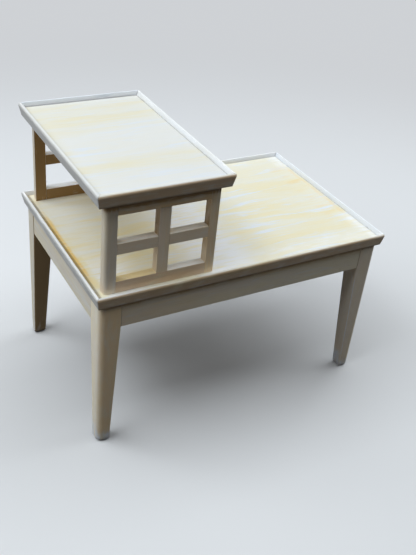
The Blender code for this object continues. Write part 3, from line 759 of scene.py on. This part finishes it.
def board(name, low, high, axis, radii):
    """Return a board along an axis, its four long edges rounded by radii, its ends eased.

    radii run round the section from its low, low corner.
    """
    (a0, b0), (a1, b1) = ([corner[index] for index in range(3) if index != axis] for corner in (low, high))
    corners = ((a0, b0), (a1, b0), (a1, b1), (a0, b1))
    outline = rounded_outline([(*corner, radius) for corner, radius in zip(corners, radii)])
    run = stations(low[axis] + JOINT_EASE_RUN, high[axis] - JOINT_EASE_RUN)
    rings = []
    for place in (low[axis], *run, high[axis]):
        ease = 0.0 if place in run else JOINT_EASE
        amounts = [wobble(solid_point(point, place, axis)) + ease for point in outline]
        rings.append([solid_point(point, place, axis) for point in shrunk(outline, amounts)])
    return loft(name, rings)


def rim_outline(height, base, lip):
    """Return the rim's section as (distance in from the outer edge, height from the rim's top)."""
    return rounded_outline([
        (RIM_UNDERCUT, -height, RIM_FOOT_ROUND),
        (base, -height, 0),
        (base, -lip, 0),
        (base - RIM_INNER_SLOPE, 0, RIM_INNER_ROUND),
        (0, 0, RIM_OUTER_ROUND),
        (0, -RIM_BAND, RIM_BAND_ROUND),
    ])


def rim_point(inset, step, end):
    """Return (along, inset) of a section point at one step of a rim's rounded, mitred end."""
    share = step / MITRE_STEPS
    reach = TRAY_CORNER_ROUND - inset
    if reach <= 0:
        return end - inset - (1 - share) * TRAY_CORNER_ROUND / 2, inset
    angle = share * math.pi / 4
    return end - TRAY_CORNER_ROUND + reach * math.sin(angle), TRAY_CORNER_ROUND - reach * math.cos(angle)


def make_rim(name, centre, run, half, top, outline, turn):
    """Loft one rim moulding, mitred at both ends with a fine eased joint."""
    base = max(point.x for point in outline)
    end = run / 2 - CLEARANCE / math.sqrt(2)
    straight = end - base - TRAY_CORNER_ROUND
    plan = [(-1, step, None) for step in range(MITRE_STEPS + 1, -1, -1)]
    plan += [(0, 0, place) for place in stations(-straight, straight)]
    plan += [(1, step, None) for step in range(MITRE_STEPS + 2)]
    spin = Matrix.Rotation(math.radians(turn), 4, "Z")
    rings = []
    for side, step, place in plan:
        joint = step > MITRE_STEPS
        reach = end if joint else end - JOINT_EASE_RUN
        ring = []
        for point in outline:
            along, inset = place, point.x
            if side:
                along, inset = rim_point(point.x, min(step, MITRE_STEPS), reach)
                along *= side
            ring.append(Vector((along, inset, point.y)))
        amounts = [wobble(point) + (JOINT_EASE if joint else 0.0) for point in ring]
        for point, flat, drawn in zip(ring, outline, shrunk(outline, amounts)):
            point.y += drawn.x - flat.x - half
            point.z = top + drawn.y
        rings.append([centre + spin @ point for point in ring])
    return loft(name, rings)


def rim_marks(make, place, rim, centre, size, base, top, lip):
    """Return a tray rim's masks: a white lip from wear and a painted highlight, and dirt at the mitres.

    The inner slope is white as painted light, a darker line runs along its inner foot, and the outside and
    the long rims' lower part get painted shade.
    """
    ground, outside_shade, straw, lime, lip_highlight_and_wear, slope_painted_light, paleness = RIM_TONES[rim]
    inner_edge = base - RIM_INNER_SLOPE
    away = make.vector("ABSOLUTE", make.vector("SUBTRACT", place, tuple(centre)))
    near = make.split(make.vector("SUBTRACT", (size.x / 2, size.y / 2, 0.0), away))
    inset = make.smallest(near[0], near[1])
    below = make.minus(top, make.split(place)[2])
    outer = make.vector("LENGTH", make.joined({"X": inset, "Y": below}))
    inner = make.plus(make.apart(inset, inner_edge), below)
    foot = make.scaled(make.apart(inset, base), RIM_DARK_LINE_RISE, make.apart(below, lip))
    mitre = make.apart(near[0], near[1])
    dirt = make.largest(make.ease(mitre, *MITRE_DIRT), make.ease(foot, *RIM_INNER_DARK_LINE))
    # Painted shade on the long rims' lower part
    if rim.endswith(LONG_SIDES):
        dirt = make.largest(dirt, make.ease(make.minus(size.z, below), *RIM_UNDER_SHADE))
    # Painted shade on the outer face below its rounded top edge
    depth = make.scaled(below, RIM_FACE_SLANT, inset)
    outside = make.product(make.ease(below, *RIM_FACE_TOP), make.ease(depth, *RIM_FACE_DEPTH))
    return {
        "Ground": ground,
        "Straw": straw,
        "Lime And Sky Reflection": lime,
        "Light And Paleness": paleness,
        # The lip's white is partly wear and partly a painted highlight; the slope's white is painted light
        "Highlight And Wear": make.largest(
            make.ease(make.smallest(outer, inner), *LIP_HIGHLIGHT_AND_WEAR, lip_highlight_and_wear, 0.0),
            make.ease(inset, inner_edge - SLOPE_EDGE, inner_edge + SLOPE_EDGE, 0.0, slope_painted_light)),
        "Shade And Dirt": dirt,
        "Shade And Stain": make.product(outside, OUTSIDE_SHADE_SHARE),
        "Stain Color": outside_shade,
    }


def panel_distances(make, place, low, high):
    """Return the distances in from a panel's left, right, front and back edges."""
    x, y, _ = make.split(place)
    return make.minus(x, low.x), make.minus(high.x, x), make.minus(y, low.y), make.minus(high.y, y)


def lower_panel_marks(make, place, low, high):
    """Return the masks of the lower panel.

    A brown line and a golden band run along the left rim, golden patches a little in from the right rim. The
    lime white has stayed along the right rim, behind the front rim and in the front left corner; beside the
    step it is partly wear and partly painted light against the step's shadow. The paleness is painted light,
    highest just right of the step.
    """
    left, right, front, back = panel_distances(make, place, low, high)
    patches = make.ease(make.noise(place, *PATCHES), *PATCH_SPAN)
    frayed = make.scaled(make.noise(place, *FRAYING), FRAY_DEPTH, -FRAY_DEPTH / 2)
    left_in = make.scaled(frayed, LEFT_FRAY, left)
    right_in = make.plus(right, frayed)
    front_in = make.plus(front, frayed)
    left_run = make.product(make.ease(front, *LEFT_GOLD_FRONT), make.ease(back, *LEFT_GOLD_BACK))
    right_run = make.product(make.ease(front, *RIGHT_GOLD_FRONT), make.ease(back, *RIGHT_GOLD_BACK))
    edge = make.smallest(right, front, back)
    return {
        "Shade And Stain": make.largest(
            make.product(make.ease(left_in, *LEFT_GOLD), left_run),
            make.product(make.band(right_in, *RIGHT_GOLD_LINE), right_run),
            make.product(make.band(right_in, *RIGHT_GOLD), patches, right_run)),
        "Shade And Dirt": make.largest(make.ease(left, *LEFT_DARK_LINE), make.ease(edge, *LOWER_EDGE_DARK_LINE)),
        "Highlight And Wear": make.largest(
            make.product(make.ease(right_in, *RIGHT_RUBBED), make.ease(right_run, *RIGHT_RUBBED_RUN)),
            make.product(make.band(front_in, *FRONT_RUBBED), make.ease(left, *FRONT_RUBBED_LEFT),
                         make.ease(patches, *FRONT_RUBBED_PATCHES)),
            make.product(make.ease(left_in, *CORNER_RUBBED), make.ease(left, *CORNER_RUBBED_LEFT),
                         make.ease(front, *CORNER_RUBBED_FRONT)),
            # Partly painted light beside the step
            make.product(make.band(left, *RUBBED_AND_LIT_MIDDLE), make.ease(back, *RUBBED_AND_LIT_MIDDLE_BACK))),
        "Straw": make.product(make.ease(back, *STRAW_BACK), make.ease(front, *STRAW_FRONT),
                              make.ease(left, *STRAW_LEFT)),
        "Lime And Sky Reflection": make.ease(left, *LIME_LEFT),
        # Painted light
        "Light And Paleness": make.product(make.ease(left, *PALENESS_LIT_LEFT), make.ease(left, *PALENESS_LIT_RIGHT)),
    }


def step_panel_marks(make, place, low, high):
    """Return the step panel's masks: cream bands near the back and front, a darker line along the back rim.
    """
    left, right, front, back = panel_distances(make, place, low, high)
    edge = make.smallest(left, right, front)
    cream = make.largest(make.band(front, *BACK_CREAM), make.band(front, *FRONT_CREAM),
                         make.ease(left, *LEFT_CREAM))
    return {
        "Ground": make.mix(make.product(cream, CREAM_SHARE), PALE, CREAM),
        "Straw": make.scaled(cream, *STEP_STRAW),
        "Lime And Sky Reflection": make.scaled(cream, *STEP_LIME),
        "Shade And Dirt": make.largest(make.ease(back, *STEP_BACK_DARK_LINE), make.ease(left, *STEP_LEFT_DARK_LINE),
                             make.ease(edge, *STEP_EDGE_DARK_LINE)),
    }


def make_tray(tray, panel_marks):
    """Dress a tray: its panel and its four rims."""
    boxes = {side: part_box(f"{tray}_rim_{side}") for side in ("front", "right", "back", "left")}
    low = Vector((boxes["left"][0].x, boxes["front"][0].y, boxes["front"][0].z))
    high = Vector((boxes["right"][1].x, boxes["back"][1].y, boxes["front"][1].z))
    base = boxes["front"][1].y - low.y
    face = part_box(tray + "_panel")[1].z
    lip = high.z - face
    centre = Vector(((low.x + high.x) / 2, (low.y + high.y) / 2, 0.0))
    size = high - low
    outline = rim_outline(size.z, base, lip)
    for index, side in enumerate(boxes):
        name = f"{tray}_rim_{side}"
        grain, run, across = ("x", size.x, size.y) if side in LONG_SIDES else ("y", size.y, size.x)
        rim = make_rim(name + "_moulding", centre, run, across / 2, high.z, outline, 90 * index)
        finish = limed(name, grain, "rim", rim_marks, (name, centre, size, base, high.z, lip))
        stand_for(rim, name, finish)
    inner = base + CLEARANCE
    slab_low = Vector((low.x + inner, low.y + inner, low.z))
    slab_high = Vector((high.x - inner, high.y - inner, face))
    panel = tray + "_panel"
    slab = board(panel + "_board", slab_low, slab_high, 0, [PANEL_EASE] * 4)
    finish = limed(panel, "x", panel, panel_marks, (slab_low, slab_high), (0, 0, -1))
    stand_for(slab, panel, finish)


def leg_size(height, low, high, size):
    """Return a leg's width at a height: tapered to the foot, with a short soft bend at the apron."""
    slope = (size - FOOT_SIZE) / (high - low)
    beyond = height - high
    if beyond <= -LEG_BEND:
        return size + slope * beyond
    if beyond >= LEG_BEND:
        return size
    return size - slope * (LEG_BEND - beyond) ** 2 / (4 * LEG_BEND)


def leg_marks(make, place, low, high, corner):
    """Return the masks of a leg: scuffed white at the foot, less high in front, and grimy at the very bottom.

    The left front leg is paler on its left side as painted light, and warmer and darker in front as painted
    shade. The right front leg has a painted highlight along its inner front edge, warm painted shade in front
    and on its left side, and more painted shade high on its left side. The back legs get painted shade, solid
    brown, on their front sides. Under the rim each leg's front gets a painted darkening.
    """
    height = make.split(place)[2]
    front = turned_to(make, (0, -1, 0))
    left = turned_to(make, (-1, 0, 0))
    scuffed = make.weighted((height, make.noise(place, *SCUFFS), front), SCUFF_WEIGHTS)
    rubbed = make.ease(scuffed, *FOOT_WEAR)
    # Painted shade under the rim; its darkening goes on the front only
    brown, shade_dark = painted_shade_under_rim(make, place, high, LEG_SHADE_TINT, APRON_SHADE_DARK)
    foot_dirt = make.ease(make.minus(height, low.z), *FOOT_DIRT)
    masks = {"Shade And Dirt": make.largest(foot_dirt, make.product(front, shade_dark))}
    if corner == "front_left":
        masks["Lime And Sky Reflection"] = NEAR_LEG_LIME
        # Painted light: the left side is paler
        masks["Light And Paleness"] = make.scaled(left, NEAR_LEG_LIT_PALENESS, FINISHES["frame"]["Light And Paleness"])
        colour = make.mix(brown, HONEY, SHADED_BROWN)
        # Painted shade: warmer and darker in front, brown under the rim
        stain = make.product(front, make.largest(brown, NEAR_LEG_FRONT_SHADE_TINT))
    elif corner == "front_right":
        masks["Lime And Sky Reflection"] = RIGHT_LEG_LIME
        masks["Light And Paleness"] = RIGHT_LEG_PALENESS
        # Painted shade high on the left side, and a warm tint of painted shade in front and on the left
        shaded = make.product(left, make.ease(height, *RIGHT_LEG_SHADE))
        colour = make.mix(make.largest(brown, shaded), BLUSH, SHADED_BROWN)
        stain = make.largest(make.product(front, make.largest(brown, RIGHT_LEG_SHADE_TINT)),
                             make.product(left, RIGHT_LEG_SHADE_TINT), shaded)
        # A painted highlight along the inner front edge, low on the leg
        edge = turned_to(make, INNER_FRONT, RIGHT_LEG_HIGHLIGHT)
        rubbed = make.largest(rubbed, make.product(edge, make.ease(height, *RIGHT_LEG_HIGHLIGHT_TOP)))
    else:
        # Painted shade: the back legs' front sides are solid brown
        colour = SHADED_BROWN
        stain = make.product(front, SOLID)
        rubbed = make.product(rubbed, BACK_FOOT_WEAR)
    masks["Highlight And Wear"] = rubbed
    masks["Shade And Stain"] = make.product(stain, make.minus(1.0, rubbed))
    masks["Stain Color"] = colour
    return masks


def box_corner(low, high, side_x, side_y):
    """Return the x and y of a box's edge on two sides, each -1 or 1."""
    return high.x if side_x > 0 else low.x, high.y if side_y > 0 else low.y


def make_leg(corner):
    """Dress one leg: rounded on its outer corner, tapered on the two inner faces, eased at the foot."""
    name = "leg_" + corner
    side_x, side_y = CORNERS[corner]
    low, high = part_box(name)
    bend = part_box("apron_front")[0].z
    outer = Vector(box_corner(low, high, side_x, side_y))

    def at(point, height):
        return Vector((outer.x - side_x * point.x, outer.y - side_y * point.y, height))

    heights = [(low.z + FOOT_EASE * up, FOOT_EASE * depth) for up, depth in FOOT_CURVE]
    plain = stations(low.z + 2 * FOOT_EASE, bend - LEG_BEND) + [bend] + stations(bend + LEG_BEND, high.z)
    heights += [(place, 0.0) for place in plain]
    rings = []
    for height, ease in heights:
        size = leg_size(height, low.z, bend, high.x - low.x)
        outline = rounded_outline([
            (0, 0, LEG_CORNER_ROUND), (size, 0, LEG_EDGE_ROUND),
            (size, size, LEG_EDGE_ROUND), (0, size, LEG_EDGE_ROUND)])
        amounts = [wobble(at(point, height)) + ease for point in outline]
        rings.append([at(point, height) for point in shrunk(outline, amounts)])
    finish = limed(name, "z", "frame", leg_marks, (low, high, corner))
    stand_for(loft(name + "_post", rings), name, finish)


def make_aprons():
    """Dress the four aprons between the legs."""
    near = {corner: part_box("leg_" + corner) for corner in CORNERS}
    inner = {
        "x": (near["front_left"][1].x + CLEARANCE, near["front_right"][0].x - CLEARANCE),
        "y": (near["front_left"][1].y + CLEARANCE, near["back_left"][0].y - CLEARANCE),
    }
    inwards = {"front": (0, 1, 0), "back": (0, -1, 0), "left": (1, 0, 0), "right": (-1, 0, 0)}
    for side, bare_side in inwards.items():
        name = "apron_" + side
        low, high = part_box(name)
        grain = "x" if side in LONG_SIDES else "y"
        axis = "xyz".index(grain)
        low[axis], high[axis] = inner[grain]
        piece = board(name + "_board", low, high, axis, [APRON_ROUND] * 4)
        finish = limed(name, grain, "frame", apron_marks, (low, high, axis, side), bare_side)
        stand_for(piece, name, finish)


def bar_marks(make, place, low, high, sign, bar, crossing):
    """Return the masks of a lattice bar: russet inside the lattice and in its openings, stronger higher up
    as painted shade of the step, and white on top as painted light.

    crossing is where the bars cross. Under the step's rim the top rail and stiles get painted shade, a brown
    tint and a darkening. The front bottom rail's top is golden in the left bay.
    """
    x, _, z = make.split(place)
    masks = {"Highlight And Wear": worn_arrises(make, place, low, high)}
    tint, share, foot_share, masks["Light And Paleness"] = BAR_TONES[bar]
    if foot_share != share:
        share = make.ease(z, low.z, low.z + BAR_FOOT, foot_share, share)
    top = facing(make, (0, 0, 1))
    russet = make.product(facing(make, (0, -sign, 0)), SOLID)
    if bar in REVEALS:
        openings = make.largest(*(facing(make, (side, 0, 0)) for side in REVEALS[bar]))
        # The openings' russet grows stronger higher up, as painted shade of the step
        shade = make.ease(make.minus(z, crossing.z), *REVEAL_SHADE)
        russet = make.largest(russet, make.product(openings, shade))
    stain = make.largest(russet, make.product(make.minus(1.0, top), share))
    if bar in ("top_rail", "outer_stile", "inner_stile"):
        # Painted shade under the step's rim: a brown tint and a darkening
        brown, masks["Shade And Dirt"] = painted_shade_under_rim(make, place, high, LATTICE_SHADE_TINT, LATTICE_SHADE_DARK)
        russet = make.largest(russet, brown)
        stain = make.largest(stain, brown)
    colour = make.mix(russet, tint, RUSSET)
    if bar == "bottom_rail" and sign < 0:
        golden = make.product(top, make.ease(make.minus(x, crossing.x), *GOLDEN_BAY))
        stain = make.largest(stain, golden)
        colour = make.mix(make.ease(golden, *GOLDEN_HUE), colour, STRAW_GOLD)
    masks["Shade And Stain"] = stain
    masks["Stain Color"] = colour
    # The tops are white as painted light
    masks["Highlight And Wear"] = make.largest(masks["Highlight And Wear"], make.product(top, TOP_PAINTED_LIGHT[sign]))
    return masks


def make_lattice(side, sign):
    """Dress the seven bars of one lattice."""
    name = f"lattice_{side}_"
    bars = {bar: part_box(name + bar) for bar in BAR_TONES}
    left = bars["outer_stile"][1].x + CLEARANCE
    right = bars["inner_stile"][0].x - CLEARANCE
    middle_left = bars["mullion"][0].x - CLEARANCE
    middle_right = bars["mullion"][1].x + CLEARANCE
    for bar, ends in (("top_rail", (left, right)), ("bottom_rail", (left, right)),
                      ("cross_bar_left", (left, middle_left)), ("cross_bar_right", (middle_right, right))):
        bars[bar][0].x, bars[bar][1].x = ends
    bars["mullion"][0].z = bars["bottom_rail"][1].z + CLEARANCE
    bars["mullion"][1].z = bars["top_rail"][0].z - CLEARANCE
    crossing = Vector((sum(corner.x for corner in bars["mullion"]), 0.0,
                       sum(corner.z for corner in bars["cross_bar_left"]))) / 2
    for bar, (low, high) in bars.items():
        radii = [BAR_ROUND] * 4
        if bar == "outer_stile":
            radii[0 if sign < 0 else 3] = STILE_ROUND
        grain = "z" if bar in REVEALS else "x"
        piece = board(name + bar + "_bar", low, high, "xyz".index(grain), radii)
        finish = limed(name + bar, grain, "lattice", bar_marks, (low, high, sign, bar, crossing))
        stand_for(piece, name + bar, finish)


def set_along(direction, place):
    """Return the transform that sets Z along a direction at a place."""
    return Matrix.Translation(place) @ UP.rotation_difference(direction).to_matrix().to_4x4()


def turned(name, outline, place, direction):
    """Return a solid turned from (radius, height) points about Z, then set along a direction."""
    angles = [2 * math.pi * step / TURNED_STEPS for step in range(TURNED_STEPS)]
    rings = [[(radius * math.cos(angle), radius * math.sin(angle), height) for angle in angles]
             for radius, height in outline]
    return loft(name, rings, set_along(direction, place))


def make_glides():
    """Dress the four glides under the feet."""
    finish = metal("glide_steel", GLIDE_WORN, GLIDE_DARK, GLIDE_ROUGHNESS)
    for corner in CORNERS:
        node = "glide_" + corner
        low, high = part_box(node)
        middle = Vector(((low.x + high.x) / 2, (low.y + high.y) / 2, 0.0))
        radius = (high.x - low.x) / 2
        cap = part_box("leg_" + corner)[0].z - CLEARANCE
        outline = [(radius - inset, share * cap) for inset, share in GLIDE_SECTION]
        stand_for(turned(node + "_cap", outline, middle, UP), node, finish)


def slotted_screw(node, head, direction, radius, length, finish):
    """Dress a screw: a countersunk head with a slot, its shank going into the wood."""
    shank = radius / 2
    outline = [(radius - SCREW_RIM, 0.0), (radius, SCREW_RIM), (shank, SCREW_HEAD),
               (shank, length - SCREW_POINT), (SCREW_RIM, length)]
    screw = turned(node + "_slotted", outline, head, direction)
    bm = bmesh.new()
    bmesh.ops.create_cube(bm, size=1.0)
    size = Matrix.Diagonal((SCREW_SLOT_RUN * radius, SCREW_SLOT_WIDTH, 2 * SCREW_SLOT_DEPTH, 1.0))
    bm.transform(set_along(direction, head) @ Matrix.Rotation(SCREW_SLOT_TURN, 4, "Z") @ size)
    cutter = mesh_object(node + "_slot", bm)
    slot = screw.modifiers.new("slot", "BOOLEAN")
    slot.operation = "DIFFERENCE"
    slot.object = cutter
    bpy.context.view_layer.update()
    cut = bpy.data.meshes.new_from_object(screw.evaluated_get(bpy.context.evaluated_depsgraph_get()))
    screw.modifiers.remove(slot)
    screw.data = cut
    bpy.data.objects.remove(cutter, do_unlink=True)
    stand_for(screw, node, finish)


def make_screws():
    """Dress the screws of the braces and cleats."""
    finish = metal("screw_steel", STEEL_LIGHT, STEEL_DARK, SCREW_ROUGHNESS)
    diagonal = math.sqrt(0.5)
    for corner, (side_x, side_y) in CORNERS.items():
        node = "brace_screw_" + corner
        low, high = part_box(node)
        radius = (high.z - low.z) / 2
        inner = Vector((*box_corner(low, high, -side_x, -side_y), (low.z + high.z) / 2))
        towards = Vector((side_x * diagonal, side_y * diagonal, 0.0))
        head = inner + Vector((side_x, side_y, 0.0)) * radius * diagonal
        length = (high.x - low.x - radius * diagonal) / diagonal
        slotted_screw(node, head, towards, radius, length, finish)
    for side in LONG_SIDES:
        for end in ("left", "right"):
            node = f"cleat_screw_{side}_{end}"
            low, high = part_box(node)
            head = Vector(((low.x + high.x) / 2, (low.y + high.y) / 2, low.z))
            slotted_screw(node, head, UP, (high.x - low.x) / 2, high.z - low.z, finish)


def dress_hidden_wood():
    """Give the braces, cleats and dowels, whose shapes stay, their unfinished wood."""
    grains = {f"corner_brace_{corner}": "z" for corner in CORNERS}
    for side in LONG_SIDES:
        grains["top_cleat_" + side] = "x"
        for level in ("foot", "head"):
            for end in ("left", "right"):
                grains[f"lattice_{side}_dowel_{level}_{end}"] = "z"
    for node, grain in grains.items():
        material = bare(node, grain)
        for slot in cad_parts[node].material_slots:
            slot.material = material


def seen_directly(make):
    """Return 1 for camera, glossy and transmission rays."""
    path = make.node("ShaderNodeLightPath").outputs
    return make.largest(path["Is Camera Ray"], path["Is Glossy Ray"], path["Is Transmission Ray"])


def make_floor():
    """Lay a plain pale floor that throws less light back than it shows, and fades into the backdrop."""
    mesh = bpy.data.meshes.new("floor")
    bm = bmesh.new()
    bmesh.ops.create_grid(bm, x_segments=1, y_segments=1, size=FLOOR_REACH)
    bm.to_mesh(mesh)
    bm.free()
    floor = add_object("floor", mesh)
    material, make, shader = new_material("floor")
    seen = seen_directly(make)
    far = make.product(seen, make.ease(make.vector("LENGTH", make.own_place()), *FLOOR_FADE))
    near = make.mix(seen, FLOOR_BOUNCE, FLOOR_SEEN)
    make.feed(shader.inputs["Base Color"], make.mix(far, near, BLACK))
    make.feed(shader.inputs["Emission Color"], BACKDROP)
    make.feed(shader.inputs["Emission Strength"], far)
    make.feed(shader.inputs["Roughness"], FLOOR_ROUGHNESS)
    make.feed(shader.inputs["Specular IOR Level"], 0.0)
    mesh.materials.append(material)


def make_light():
    """Set the soft lamps, and a weak even fill from all round."""
    for name, (place, aim, width, height, power, colour) in LAMPS.items():
        lamp = bpy.data.lights.new(name, "AREA")
        lamp.shape = "RECTANGLE"
        lamp.size = width
        lamp.size_y = height
        lamp.energy = power
        lamp.color = colour
        holder = add_object(name, lamp)
        holder.location = place
        holder.rotation_euler = (Vector(aim) - Vector(place)).to_track_quat("-Z", "Y").to_euler()
        holder.visible_camera = False
    world = bpy.data.worlds.new("studio")
    bpy.context.scene.world = world
    world.use_nodes = True
    make = Shader(world.node_tree)
    background = world.node_tree.nodes["Background"]
    seen = seen_directly(make)
    make.feed(background.inputs["Color"], make.mix(seen, WARM, BACKDROP))
    make.feed(background.inputs["Strength"], make.scaled(seen, 1.0 - FILL_STRENGTH, FILL_STRENGTH))


def make_camera():
    """Stand the camera where the photograph was taken."""
    data = bpy.data.cameras.new("camera")
    data.sensor_width = CAMERA_SENSOR
    data.lens = CAMERA_LENS
    camera = add_object("camera", data)
    camera.location = CAMERA_PLACE
    camera.rotation_euler = [math.radians(angle) for angle in CAMERA_TURN]
    bpy.context.scene.camera = camera


make_camera()
make_light()
make_floor()
make_tray("lower", lower_panel_marks)
make_tray("step", step_panel_marks)
for corner in CORNERS:
    make_leg(corner)
make_aprons()
make_lattice("front", -1)
make_lattice("back", 1)
make_glides()
make_screws()
dress_hidden_wood()
bpy.context.scene.view_settings.view_transform = "Standard"
